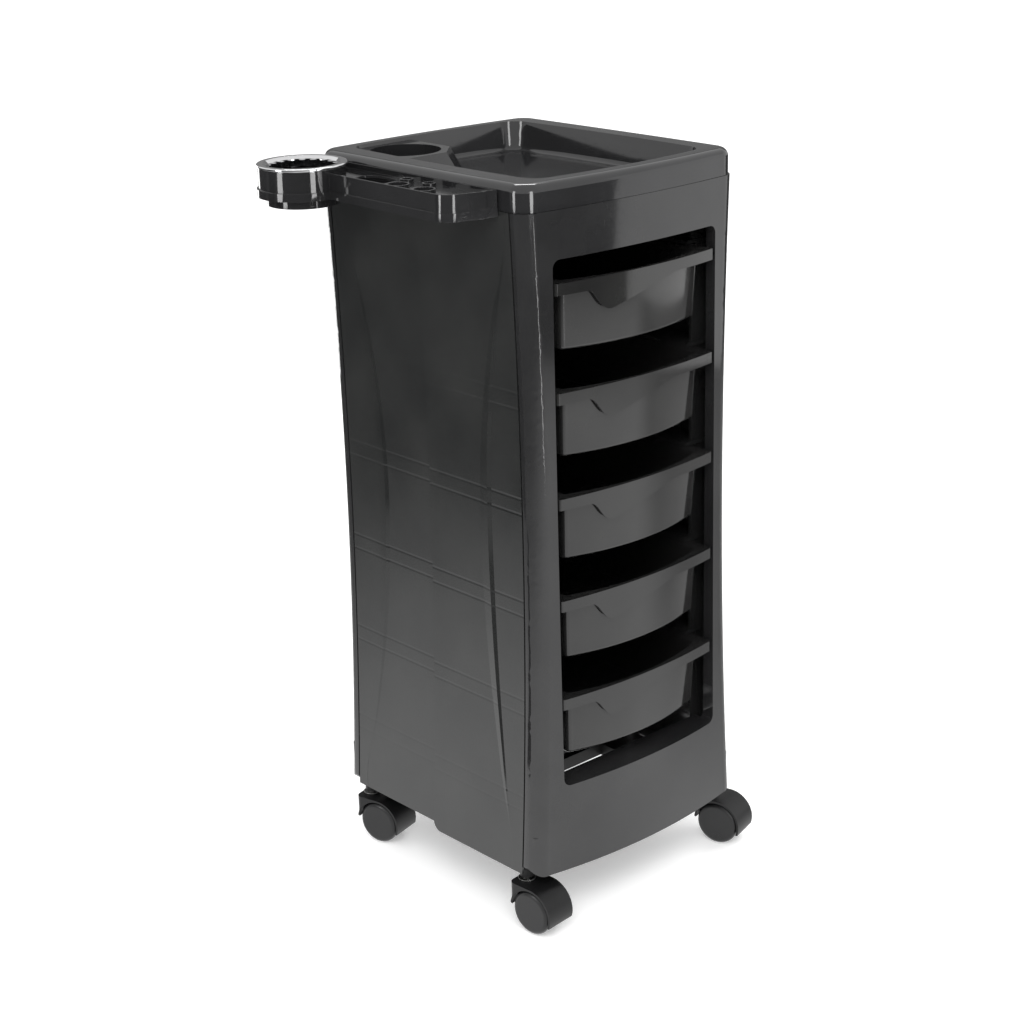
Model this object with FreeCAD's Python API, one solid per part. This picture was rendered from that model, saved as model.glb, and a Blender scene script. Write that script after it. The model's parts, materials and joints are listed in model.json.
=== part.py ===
import FreeCAD, Part
import math
import os

# A black plastic salon trolley: a waisted carcass on four hooded twin-wheel casters, five
# drawers that run on moulded ribs, a top tray with a well and a cup holder, and a tool holder
# on the left side.  Millimetres, +Z up, drawers open towards -Y, the tool holder is on -X.
# The pieces are drawn round the carcass's own middle and moved to the origin when they are saved.

# The carcass's middle lies here when the origin is under the middle of the whole footprint
CARCASS_X = 40.22
CARCASS_Y = 9.34

# Overall heights
TOP_Z = 880.0            # top of the tray ledge above the floor
TRAY_SKIRT_Z = 850.0     # joint between the tray and the carcass
BODY_TOP_Z = 849.6
BODY_BOTTOM_Z = 72.0

# Carcass plan
WALL = 3.0
BOTTOM_HALF_X = 167.5
WAIST_HALF_X = 153.5
TOP_HALF_X = 161.5
WAIST_Z = 500.0
BODY_HALF_Y = 183.0
TOP_HALF_Y = 181.0
CORNER_R = 21.0
BOW_FRONT_TOP = 8.0
BOW_FRONT_BOTTOM = 15.0
BOW_BACK = 5.0
POST_DEPTH = 25.0        # side return of the front frame and of the back panel
GROOVE = 2.2             # open joint between a post and its side panel

# Drawer opening in the front frame
OPENING_HALF_X = 124.0
OPENING_BOTTOM_Z = 180.0
OPENING_TOP_Z = 797.0
OPENING_R = 9.5
FLANGE_DEPTH = 14.0
SILL_DEPTH = 26.0
FLANGE_T = 2.5
FOOT_CORNER_R = 15.0

# Drawers, counted from the top
DRAWER_COUNT = 5
DRAWER_1_TOP_Z = 771.0
DRAWER_PITCH = 120.75
LIP_HALF_X = 121.0
LIP_H = 13.0
LIP_T = 2.5
LIP_CORNER_Y = -183.5    # front face of the lip at its two ends
LIP_BOW = 11.0
LIP_END_R = 3.5
DRAWER_BACK_Y = 150.0
DRAWER_H = 78.0
BOWL_TOP_HALF_X = 106.0
BOWL_BOTTOM_HALF_X = 103.0
BOWL_SETBACK = 8.0       # ends of the bowl's front behind the ends of the lip
BOWL_BOW = 16.5
BOWL_BACK_GAP = 14.0
BOWL_LEAN = 4.0          # how far the bowl's front and back lean inwards over its height
BOWL_R = 6.5
BOWL_FLOOR_R = 4.0
BOWL_WALL = 2.2
GRIP_LEFT_X = -87.0      # the hanging finger grip, an uneven V below the lip
GRIP_TIP_X = -48.0
GRIP_RIGHT_X = 52.0
GRIP_DROP = 24.0

# Drawer ribs on the side panels
RIB_T = 4.0
RIB_GAP = 0.5            # above and below the drawer's side flange
RIB_INNER_X = 110.5
RIB_END_Y = 150.6

# Top tray
SHOULDER_R = 10.0
TRAY_WALL = 2.6
WELL_HALF_X = 128.0
WELL_HALF_Y = 162.0
WELL_CORNER_R = 24.0
WELL_FLOOR_Z = 845.0
WELL_TAPER = 6.0
WELL_FLOOR_R = 6.0
CUP_X = -84.0
CUP_Y = 111.0
CUP_BORE_R = 41.5
CUP_RIM_Z = 876.0
POD_RIGHT_X = -34.0      # the block round the cup: right and front faces and the corner
POD_FRONT_Y = 63.0       # cut off between them, at rim height
POD_CORNER = 28.0
POD_SLOPE = 15.0         # how far its faces spread down to the well floor
CUP_FLOOR_Z = 822.0

# Tool holder on the left side
HOLDER_INNER_X = -163.2
HOLDER_OUTER_X = -222.0
HOLDER_FRONT_Y = -126.0  # at the outer front corner; the face runs forward towards the tray
HOLDER_INNER_FRONT_Y = -145.0
HOLDER_END_X = -177.0    # where the front face steps back beside the tray
HOLDER_END_STEP = 3.0
HOLDER_TOP_Z = 872.5
HOLDER_FLOOR_DROP = 6.0  # recessed top inside the holder's thin rim
HOLDER_RIM = 2.2
HOLDER_BOTTOM_Z = 844.0
HOLDER_WALL = 2.5
HOLDER_CORNER_R = 19.0
HOLDER_BAND_H = 9.0
HOLDER_BAND_OUT = 1.2
RING_X = -223.0
RING_Y = 121.0
RING_OUTER_R = 51.0
RING_BORE_R = 36.0
RING_TOP_Z = 880.0
RING_H = 11.0
FLUTE_COUNT = 20
FLUTE_R = 3.6
RING_CUP_R = 49.5
RING_BAND_R = 51.5
RING_FOOT_R = 41.0
RING_CUP_BOTTOM_Z = 834.0
TOOL_HOLES = ((-205.0, -73.0, 10.5), (-205.0, -29.0, 10.5), (-179.5, -50.0, 5.5),
              (-179.5, -12.0, 5.5))
TOOL_SLOT = ((-211.0, 0.0), (-177.0, 8.0), (-174.0, 42.0), (-182.0, 60.0), (-211.0, 50.0))

# Casters
CASTER_X = 154.0
CASTER_Y = 150.0
CASTERS = (("front_left", -1, -1, -84.0), ("front_right", 1, -1, -73.0),
           ("rear_left", -1, 1, -74.0), ("rear_right", 1, 1, -66.0))
WHEEL_R = 27.0
WHEEL_W = 15.0
WHEEL_EDGE_R = 5.5       # rounded outer edge of a wheel's smooth cover
WHEEL_GAP = 5.6          # from the caster's middle plane to a wheel's inner face
TRAIL = 22.0
AXLE_R = 3.0
STEM_R = 5.0
HOOD_GAP = 1.5
HOOD_T = 2.6
HOOD_HALF_W = 20.2
HOOD_PLATE_Z = 58.0
STEM_TOP_Z = 98.0
SOCKET_BOTTOM_Z = 62.5
SOCKET_R = 8.0
SLEEVE_R = 6.4
RUNNING_GAP = 0.06

# Base
BASE_BOTTOM_Z = 76.0
BASE_TOP_Z = 92.0
BASE_BAR = 16.0
BASE_HALF_X = 162.0
BASE_HALF_Y = 177.0
BASE_CORNER_R = 15.5
BASE_GAP_HALF_X = 104.0  # the two openings; thin decks join their edges to the outer bars
BASE_RIB = 5.0
BASE_DECK_T = 3.0
BASE_WAIST_HALF_X = 158.3    # its long sides step in behind the side panels
BASE_WAIST_HALF_Y = 125.0
JOINT_LIP_Z = 106.0      # the frames' joint lips and the panels' posts start above the base
PANEL_POST_Z = 122.0
PANEL_FOOT_R = 12.0      # lower rear corner of a front side panel

# Creases that sweep over the side panels, and the raised field of the back
CREASE_LOW_Z = 108.0
CREASE_HIGH_Z = 812.0
FIELD_HALF_X = 112.0
FIELD_LOW_Z = 150.0
FIELD_HIGH_Z = 790.0
FIELD_R = 16.0
FIELD_GROOVE = 4.0

# Screws: (x, y) of the corner bosses at the foot and at the top
FOOT_SCREW = (156.0, 171.0)
TRAY_SCREW = (147.0, 169.0)
HOLDER_SCREW_Y = (-96.0, 30.0)
HOLDER_SCREW_Z = 857.0
BOSS_R = 6.3
SCREW_R = 1.8
CLEAR_R = 2.2
HEAD_R = 3.6
HEAD_H = 2.2

PARTS = {}


def vec(x, y, z):
    return FreeCAD.Vector(x, y, z)


def box(x0, x1, y0, y1, z0, z1):
    """A box from its two extreme corners."""
    return Part.makeBox(x1 - x0, y1 - y0, z1 - z0, vec(x0, y0, z0))


def cylinder(radius, x, y, z0, z1):
    """An upright cylinder."""
    return Part.makeCylinder(radius, z1 - z0, vec(x, y, z0))


def arc(start, through, end):
    return Part.Arc(start, through, end).toShape()


def half_width(z):
    """Half the carcass width at height z: widest at the floor end, waisted, wider again."""
    if z < WAIST_Z:
        share = (WAIST_Z - z) / (WAIST_Z - BODY_BOTTOM_Z)
        return WAIST_HALF_X + (BOTTOM_HALF_X - WAIST_HALF_X) * share ** 2
    share = (z - WAIST_Z) / (BODY_TOP_Z - WAIST_Z)
    return WAIST_HALF_X + (TOP_HALF_X - WAIST_HALF_X) * share ** 2


def half_depth(z):
    share = (z - BODY_BOTTOM_Z) / (BODY_TOP_Z - BODY_BOTTOM_Z)
    return BODY_HALF_Y + (TOP_HALF_Y - BODY_HALF_Y) * share


def front_bow(z):
    share = (z - BODY_BOTTOM_Z) / (BODY_TOP_Z - BODY_BOTTOM_Z)
    return BOW_FRONT_BOTTOM + (BOW_FRONT_TOP - BOW_FRONT_BOTTOM) * share


def plan_wire(hx, hy, z, radius, bow_front=0.0, bow_back=0.0, bow_side=0.0):
    """Closed rounded rectangle at height z whose sides may bow outwards."""
    k = radius * (1.0 - math.sqrt(0.5))
    edges = [
        arc(vec(-hx + radius, -hy, z), vec(0, -hy - bow_front, z), vec(hx - radius, -hy, z)),
        arc(vec(hx - radius, -hy, z), vec(hx - k, -hy + k, z), vec(hx, -hy + radius, z)),
        arc(vec(hx, -hy + radius, z), vec(hx + bow_side + 0.01, 0, z), vec(hx, hy - radius, z)),
        arc(vec(hx, hy - radius, z), vec(hx - k, hy - k, z), vec(hx - radius, hy, z)),
        arc(vec(hx - radius, hy, z), vec(0, hy + bow_back + 0.01, z), vec(-hx + radius, hy, z)),
        arc(vec(-hx + radius, hy, z), vec(-hx + k, hy - k, z), vec(-hx, hy - radius, z)),
        arc(vec(-hx, hy - radius, z), vec(-hx - bow_side - 0.01, 0, z), vec(-hx, -hy + radius, z)),
        arc(vec(-hx, -hy + radius, z), vec(-hx + k, -hy + k, z), vec(-hx + radius, -hy, z)),
    ]
    return Part.Wire(edges)


def loft(wires, ruled=False):
    return Part.makeLoft(wires, True, ruled)


def body_solid(inset, z0, z1, steps=7):
    """The carcass's filled outline, moved inwards by inset all round."""
    wires = []
    for step in range(steps + 1):
        z = z0 + (z1 - z0) * step / steps
        wires.append(plan_wire(half_width(z) - inset, half_depth(z) - inset, z,
                               CORNER_R - inset, front_bow(z), BOW_BACK))
    return loft(wires)


def rounded_window(half_x, z0, z1, radius, y0, y1):
    """A prism along Y with a rounded rectangular section in XZ."""
    window = box(-half_x, half_x, y0, y1, z0, z1)
    along_y = [edge for edge in window.Edges
               if abs(edge.Vertexes[0].Point.y - edge.Vertexes[1].Point.y) > 1.0]
    return window.makeFillet(radius, along_y)


def is_upright(edge):
    return abs(edge.Vertexes[0].Point.z - edge.Vertexes[-1].Point.z) > 1.0


def carcass_shell(inset=0.0, wall=WALL):
    """An open-ended tube with the carcass's outline."""
    outer = body_solid(inset, BODY_BOTTOM_Z, BODY_TOP_Z)
    inner = body_solid(inset + wall, BODY_BOTTOM_Z - 8.0, BODY_TOP_Z + 8.0)
    return outer.cut(inner)


def with_bosses(panel, y_sign):
    """Add the screw bosses in a frame's four inner corners, with their pilot holes."""
    low, high = BASE_TOP_Z + 0.2, BODY_TOP_Z
    for sign in (-1, 1):
        foot = (sign * FOOT_SCREW[0], y_sign * FOOT_SCREW[1])
        head = (sign * TRAY_SCREW[0], y_sign * TRAY_SCREW[1])
        panel = panel.fuse([cylinder(BOSS_R, foot[0], foot[1], low, low + 30.0),
                            cylinder(BOSS_R, head[0], head[1], high - 22.0, high)])
        panel = panel.cut(cylinder(SCREW_R, foot[0], foot[1], low - 1.0, low + 25.0))
        panel = panel.cut(cylinder(CLEAR_R, head[0], head[1], high - 23.0, high + 1.0))
    return panel


def make_front_frame(shell, joint_shell):
    """Front face, both front posts and the flanges round the drawer opening."""
    groove_y = -BODY_HALF_Y + POST_DEPTH
    frame = shell.common(box(-200, 200, -230, groove_y - GROOVE / 2, 0, 900))
    lip = joint_shell.common(box(-200, 200, groove_y - 12.0, groove_y + 7.0,
                                 JOINT_LIP_Z, BODY_TOP_Z - 2.0))
    tie = carcass_shell(WALL - 0.6, 1.8).common(
        box(-200, 200, groove_y - 12.0, groove_y - 6.0, JOINT_LIP_Z, BODY_TOP_Z - 2.0))
    frame = frame.fuse([lip, tie])
    solid_front = body_solid(0.5, BODY_BOTTOM_Z, BODY_TOP_Z)
    collar = rounded_window(OPENING_HALF_X + FLANGE_T, OPENING_BOTTOM_Z - FLANGE_T,
                            OPENING_TOP_Z + FLANGE_T, OPENING_R + FLANGE_T,
                            -230.0, -BODY_HALF_Y + FLANGE_DEPTH)
    sill = box(-OPENING_HALF_X + 2.0, OPENING_HALF_X - 2.0, -215.0, -BODY_HALF_Y + SILL_DEPTH,
               OPENING_BOTTOM_Z - FLANGE_T, OPENING_BOTTOM_Z)
    frame = frame.fuse([collar.fuse(sill).common(solid_front)])
    window = rounded_window(OPENING_HALF_X, OPENING_BOTTOM_Z, OPENING_TOP_Z, OPENING_R,
                            -240.0, -BODY_HALF_Y + 60.0)
    return round_feet(with_bosses(frame.cut(window), -1), -240.0, groove_y + 8.0)


def round_feet(shape, y0, y1):
    """Round the two lower corners of a panel as seen along Y."""
    side = BOTTOM_HALF_X + 2.0
    centre_x = BOTTOM_HALF_X - FOOT_CORNER_R
    centre_z = BODY_BOTTOM_Z + FOOT_CORNER_R
    for sign in (-1, 1):
        low, high = sorted((sign * centre_x, sign * side))
        block = box(low, high, y0, y1, BODY_BOTTOM_Z - 2.0, centre_z)
        keep = Part.makeCylinder(FOOT_CORNER_R, y1 - y0, vec(sign * centre_x, y0, centre_z),
                                 vec(0, 1, 0))
        shape = shape.cut(block.cut(keep))
    return shape


def field_window(grow, y0):
    """The outline of the back's raised field, moved outwards by grow, as a prism along Y."""
    return rounded_window(FIELD_HALF_X + grow, FIELD_LOW_Z - grow, FIELD_HIGH_Z + grow,
                          FIELD_R + grow * 0.5, y0, 240.0)


def make_back_panel(shell, joint_shell):
    """Closed back with both rear posts and a shallow raised field."""
    groove_y = BODY_HALF_Y - POST_DEPTH
    panel = shell.common(box(-200, 200, groove_y + GROOVE / 2, 230, 0, 900))
    lip = joint_shell.common(box(-200, 200, groove_y - 7.0, groove_y + 12.0,
                                 JOINT_LIP_Z, BODY_TOP_Z - 2.0))
    tie = carcass_shell(WALL - 0.6, 1.8).common(
        box(-200, 200, groove_y + 6.0, groove_y + 12.0, JOINT_LIP_Z, BODY_TOP_Z - 2.0))
    inside = carcass_shell(1.5, 3.2)
    field_groove = field_window(0.0, 0.0).cut(field_window(-FIELD_GROOVE, 0.0))
    groove_cut = body_solid(-3.0, BODY_BOTTOM_Z, BODY_TOP_Z).cut(
        body_solid(1.6, BODY_BOTTOM_Z - 5.0, BODY_TOP_Z + 5.0)).common(field_groove)
    band = field_window(FIELD_GROOVE, 100.0).cut(field_window(-2.0 * FIELD_GROOVE, 90.0))
    backing = inside.common(band)
    panel = panel.fuse([lip, tie, backing]).cut(groove_cut)
    return round_feet(with_bosses(panel, 1), groove_y - 8.0, 240.0)


def crease(z, edge_y, waist_y, low_y):
    """Distance from the middle line of a crease that sweeps towards the middle at the waist."""
    if z > WAIST_Z:
        share = (z - WAIST_Z) / (CREASE_HIGH_Z - WAIST_Z)
        return waist_y + (edge_y - waist_y) * min(share, 1.0) ** 2
    share = (WAIST_Z - z) / (WAIST_Z - CREASE_LOW_Z)
    return waist_y + (low_y - waist_y) * min(share, 1.0) ** 2


def blade(z):
    """Height of the crescent-shaped ridge at height z: nothing at its ends, full at the waist."""
    if z <= CREASE_LOW_Z or z >= CREASE_HIGH_Z:
        return 0.0
    return math.sin(math.pi * (z - CREASE_LOW_Z) / (CREASE_HIGH_Z - CREASE_LOW_Z))


def step_share(z):
    return (BODY_TOP_Z - z) / (BODY_TOP_Z - BODY_BOTTOM_Z)


def front_outline(z):
    """Outer line of a front side panel at height z as (y, outward offset) pairs."""
    ridge = crease(z, -147.0, -101.0, -138.0)
    wide = 13.0 * blade(z) + 0.8
    flare = 1.0 + 4.5 * step_share(z)
    slope = flare / 155.0
    edge = -BODY_HALF_Y + POST_DEPTH + GROOVE / 2
    return [(edge, 0.0),
            (ridge - 5.5 * blade(z) - 0.8, slope * (ridge - edge)),
            (ridge, slope * (ridge - edge) + 1.5 * blade(z)),
            (ridge + wide, slope * (ridge - edge)),
            (-9.0, flare * 0.95),
            (-0.25, flare)]


def rear_outline(z):
    """Outer line of a rear side panel at height z as (y, outward offset) pairs."""
    ridge = crease(z, 143.0, 90.0, 139.0)
    recess = 0.8 + 4.2 * step_share(z)
    slope = recess / 155.0
    edge = BODY_HALF_Y - POST_DEPTH - GROOVE / 2
    return [(0.25, -recess),
            (ridge - 5.0 * blade(z) - 0.8, -slope * (edge - ridge)),
            (ridge, -slope * (edge - ridge) + 1.5 * blade(z)),
            (min(ridge + 15.0 * blade(z) + 0.8, edge - 1.0), -slope * (edge - ridge) * 0.5),
            (edge, 0.0)]


def side_section(outline, z, side, inner_x=None):
    """Closed polygon of a side panel at height z; its inner line is WALL behind or at inner_x."""
    buried = 0.0 if inner_x is None else 1.2
    points = [vec(side * (half_width(z) + out - buried), y, z) for y, out in outline(z)]
    inner = []
    for y, out in outline(z):
        x = inner_x
        if inner_x is None:
            at_middle = abs(y) < 1.0
            x = half_width(z) - WALL + (min(out, 0.0) if at_middle else out)
        inner.append(vec(side * x, y, z))
    ring = points + inner[::-1]
    ring.append(ring[0])
    return Part.makePolygon(ring)


def lip_top(number):
    """Top of drawer number's lip; the top drawer is 1."""
    return DRAWER_1_TOP_Z - (number - 1) * DRAWER_PITCH


def make_side_panel(outline, side, front):
    """One half of a side: a waisted skin with the ribs that carry the drawers."""
    bottom = BODY_BOTTOM_Z - 1.0 if front else BODY_BOTTOM_Z + 1.0
    heights = [bottom, CREASE_LOW_Z, 160.0, 225.0, 300.0, 375.0, 440.0, WAIST_Z, 560.0, 625.0,
               690.0, 750.0, CREASE_HIGH_Z, BODY_TOP_Z]
    skin = loft([side_section(outline, z, side) for z in heights])
    filled = loft([side_section(outline, z, side, RIB_INNER_X) for z in heights])
    y0, y1 = (-RIB_END_Y, -1.0) if front else (1.0, RIB_END_Y)
    slabs = []
    for number in range(1, DRAWER_COUNT + 1):
        top = lip_top(number)
        for z in (top - LIP_H - RIB_GAP - RIB_T, top + RIB_GAP):
            slabs.append(box(-175, 175, y0, y1, z, z + RIB_T))
    post_y = (-RIB_END_Y + 4.0, -RIB_END_Y + 8.0) if front else (RIB_END_Y - 8.0, RIB_END_Y - 4.0)
    post = box(-175, 175, post_y[0], post_y[1], PANEL_POST_Z, BODY_TOP_Z - 25.0)
    post = post.cut(box(-LIP_HALF_X - 3.0, LIP_HALF_X + 3.0, -200, 200, 0, 900))
    ribs = filled.common(post.fuse(slabs))
    panel = skin.fuse(ribs.Solids)
    if front:
        panel = panel.cut(panel_foot_corner(bottom))
    return panel


def panel_foot_corner(bottom):
    """What is cut away to round the lower rear corner of a front side panel."""
    block = box(-200, 200, -PANEL_FOOT_R - 0.25, 1.0, bottom - 1.0, bottom + PANEL_FOOT_R)
    keep = Part.makeCylinder(PANEL_FOOT_R, 400.0,
                             vec(-200, -PANEL_FOOT_R - 0.25, bottom + PANEL_FOOT_R), vec(1, 0, 0))
    return block.cut(keep)


def bowed_band(front_y, bow, half_x, thickness, z0, z1, back_y):
    """A filled plan whose front bows outwards and whose back is straight."""
    y = front_y + thickness
    front = arc(vec(-half_x, y, z0), vec(0, y - bow, z0), vec(half_x, y, z0))
    sides = Part.makePolygon([vec(half_x, y, z0), vec(half_x, back_y, z0),
                              vec(-half_x, back_y, z0), vec(-half_x, y, z0)])
    face = Part.Face(Part.Wire([front] + sides.Edges))
    return face.extrude(vec(0, 0, z1 - z0))


def bowl_wire(inset, depth_share, z):
    """Plan of the drawer's bowl at height z."""
    half_x = BOWL_TOP_HALF_X + (BOWL_BOTTOM_HALF_X - BOWL_TOP_HALF_X) * depth_share - inset
    front = LIP_CORNER_Y + BOWL_SETBACK + BOWL_LEAN * depth_share + inset
    back = DRAWER_BACK_Y - BOWL_BACK_GAP - BOWL_LEAN * depth_share - inset
    middle = (front + back) / 2.0
    wire = plan_wire(half_x, (back - front) / 2.0, z, max(BOWL_R - inset, 2.0), BOWL_BOW)
    wire.translate(vec(0, middle, 0))
    return wire


def make_bowl(top, inset, floor_z):
    """The bowl as a filled solid: leaning walls and a rounded floor edge."""
    wires = []
    straight = floor_z + BOWL_FLOOR_R
    for z in (top, (top + straight) / 2.0, straight):
        wires.append(bowl_wire(inset, (top - z) / DRAWER_H, z))
    walls = loft(wires, True)
    rounding = [wires[-1]]
    for step in range(1, 6):
        angle = math.pi / 2 * step / 5
        z = straight - BOWL_FLOOR_R * math.sin(angle)
        extra = BOWL_FLOOR_R * (1.0 - math.cos(angle))
        rounding.append(bowl_wire(inset + extra * 0.85, (top - z) / DRAWER_H, z))
    return walls.fuse(loft(rounding, True))


def grip_prism(bottom, low):
    """The hanging finger grip's outline: an S-shaped left side, a rounded tip, a long right side."""
    y = -230.0
    left = Part.BSplineCurve()
    left.interpolate([vec(GRIP_LEFT_X, y, bottom + 0.5),
                      vec(GRIP_LEFT_X + 12.0, y, bottom - 1.5),
                      vec(GRIP_TIP_X - 15.0, y, low + 8.0),
                      vec(GRIP_TIP_X, y, low)])
    right = Part.makePolygon([vec(GRIP_TIP_X, y, low), vec(GRIP_TIP_X + 5.0, y, low + 0.8),
                              vec(GRIP_RIGHT_X, y, bottom + 0.5),
                              vec(GRIP_LEFT_X, y, bottom + 0.5)])
    return Part.Face(Part.Wire([left.toShape()] + right.Edges)).extrude(vec(0, 120, 0))


def make_drawer(number):
    """One drawer: bowl, rim with side flanges that ride on the ribs, and the finger grip."""
    top = lip_top(number)
    bottom = top - LIP_H
    low = bottom - GRIP_DROP
    rim = bowed_band(LIP_CORNER_Y, LIP_BOW, LIP_HALF_X, 0.0, low, top, DRAWER_BACK_Y)
    ends = [edge for edge in rim.Edges
            if all(abs(point.Point.y - LIP_CORNER_Y) < 0.1 for point in edge.Vertexes)
            and edge.Length < LIP_HALF_X]
    rim = rim.makeFillet(LIP_END_R, [edge for edge in ends if is_upright(edge)])
    hollow = bowed_band(LIP_CORNER_Y, LIP_BOW, LIP_HALF_X - LIP_T, LIP_T, low - 1.0,
                        top - LIP_T, DRAWER_BACK_Y - LIP_T)
    around_grip = box(-200, 200, -240, 240, low - 1.0, bottom).cut(grip_prism(bottom, low))
    rim = rim.cut(hollow).cut(around_grip)
    outer = make_bowl(top - LIP_T / 2, 0.0, top - DRAWER_H)
    inner = make_bowl(top + 0.6, BOWL_WALL, top - DRAWER_H + BOWL_WALL)
    return rim.fuse(outer).cut(inner)


def tray_plan(inset, z):
    share_y = TOP_HALF_Y - inset
    return plan_wire(TOP_HALF_X - 1.0 - inset, share_y, z, CORNER_R + 3.0 - min(inset, 15.0),
                     BOW_FRONT_TOP, BOW_BACK, 1.5)


def tray_block(inset, z0, z1, shoulder):
    """The tray's outside as a filled solid with a rounded top edge."""
    wires = [tray_plan(inset, z0)]
    for step in range(7):
        angle = math.pi / 2 * step / 6
        wires.append(tray_plan(inset + shoulder * (1.0 - math.cos(angle)),
                               z1 - shoulder + shoulder * math.sin(angle)))
    return loft(wires, True)


def well_block(grow, floor_z, top_z):
    """The tray's well as a filled solid with a rounded floor edge."""
    def ring(z, extra):
        share = (TOP_Z - z) / (TOP_Z - WELL_FLOOR_Z)
        inset = WELL_TAPER * min(share, 1.0) + extra - grow
        return plan_wire(WELL_HALF_X - inset, WELL_HALF_Y - inset, z, WELL_CORNER_R - inset,
                         6.0, 4.0, 3.0)
    wires = [ring(top_z, 0.0), ring(floor_z + WELL_FLOOR_R, 0.0)]
    for step in range(1, 5):
        angle = math.pi / 2 * step / 4
        wires.append(ring(floor_z + WELL_FLOOR_R * (1.0 - math.sin(angle)),
                          WELL_FLOOR_R * (1.0 - math.cos(angle))))
    return loft(wires, True)


def pod_block(inset):
    """The block round the cup holder: sloping right and front faces with the corner cut off."""
    wires = []
    foot_z = WELL_FLOOR_Z - (1.0 if inset == 0.0 else 8.0)
    for z in (CUP_RIM_Z - inset, foot_z):
        spread = POD_SLOPE * (CUP_RIM_Z - z) / (CUP_RIM_Z - WELL_FLOOR_Z)
        right = POD_RIGHT_X + spread - inset
        front = POD_FRONT_Y - spread * 0.5 + inset
        wires.append(Part.makePolygon([
            vec(-150, 190, z), vec(-150, front, z), vec(right - POD_CORNER, front, z),
            vec(right, front + POD_CORNER, z), vec(right, 190, z), vec(-150, 190, z)]))
    return loft(wires, True)


def make_top_tray():
    """Tray with a broad ledge, a well and a cup holder in its rear left corner."""
    outside = tray_block(0.0, TRAY_SKIRT_Z, TOP_Z, SHOULDER_R)
    cavity = tray_block(TRAY_WALL, TRAY_SKIRT_Z - 5.0, TOP_Z - TRAY_WALL, SHOULDER_R - TRAY_WALL)
    tray = outside.cut(cavity)
    well_outside = well_block(TRAY_WALL, WELL_FLOOR_Z - TRAY_WALL, TOP_Z - 1.0)
    cup = cylinder(CUP_BORE_R + TRAY_WALL, CUP_X, CUP_Y, CUP_FLOOR_Z - TRAY_WALL, CUP_RIM_Z - 0.5)
    pod = pod_block(0.0).common(well_block(1.0, WELL_FLOOR_Z - 1.0, TOP_Z + 1.0))
    under_pod = pod_block(TRAY_WALL).common(well_block(0.0, WELL_FLOOR_Z - 20.0, TOP_Z + 1.0))
    tray = tray.fuse(well_outside)
    tray = tray.cut(well_block(0.0, WELL_FLOOR_Z, TOP_Z + 1.0))
    tray = tray.fuse(pod).cut(under_pod).fuse(cup)
    posts = [cylinder(BOSS_R, sx * TRAY_SCREW[0], sy * TRAY_SCREW[1], TRAY_SKIRT_Z, TOP_Z - 3.0)
             for sx in (-1, 1) for sy in (-1, 1)]
    posts = [post.common(tray_block(1.0, TRAY_SKIRT_Z, TOP_Z - 1.0, SHOULDER_R - 1.0))
             for post in posts]
    tray = tray.fuse(posts)
    for sx in (-1, 1):
        for sy in (-1, 1):
            tray = tray.cut(cylinder(SCREW_R, sx * TRAY_SCREW[0], sy * TRAY_SCREW[1],
                                     TRAY_SKIRT_Z - 1.0, TRAY_SKIRT_Z + 20.0))
    for y in HOLDER_SCREW_Y:
        tray = tray.cut(screw_hole(SCREW_R, y, -175.0, -150.0))
    return tray.cut(cylinder(CUP_BORE_R, CUP_X, CUP_Y, CUP_FLOOR_Z, TOP_Z + 5.0))


def holder_plan(grow, z0, z1):
    """Filled plan of the holder's box between z0 and z1, moved outwards by grow."""
    x_in = HOLDER_INNER_X + grow
    x_out = HOLDER_OUTER_X - grow
    x_end = HOLDER_END_X + grow
    slant = (HOLDER_INNER_FRONT_Y - HOLDER_FRONT_Y) / (HOLDER_INNER_X - HOLDER_OUTER_X)
    y_end = HOLDER_FRONT_Y + slant * (HOLDER_END_X - HOLDER_OUTER_X) - grow
    outline = [vec(x_in, RING_Y, z0), vec(x_in, HOLDER_INNER_FRONT_Y + HOLDER_END_STEP - grow, z0),
               vec(x_end, y_end + HOLDER_END_STEP, z0), vec(x_end, y_end, z0),
               vec(x_out, HOLDER_FRONT_Y - grow, z0), vec(x_out, RING_Y, z0),
               vec(x_in, RING_Y, z0)]
    block = Part.Face(Part.makePolygon(outline)).extrude(vec(0, 0, z1 - z0))
    corner = [edge for edge in block.Edges if is_upright(edge)
              and abs(edge.Vertexes[0].Point.x - x_out) < 0.1
              and edge.Vertexes[0].Point.y < 0.0]
    return block.makeFillet(HOLDER_CORNER_R + grow, corner)


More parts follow.
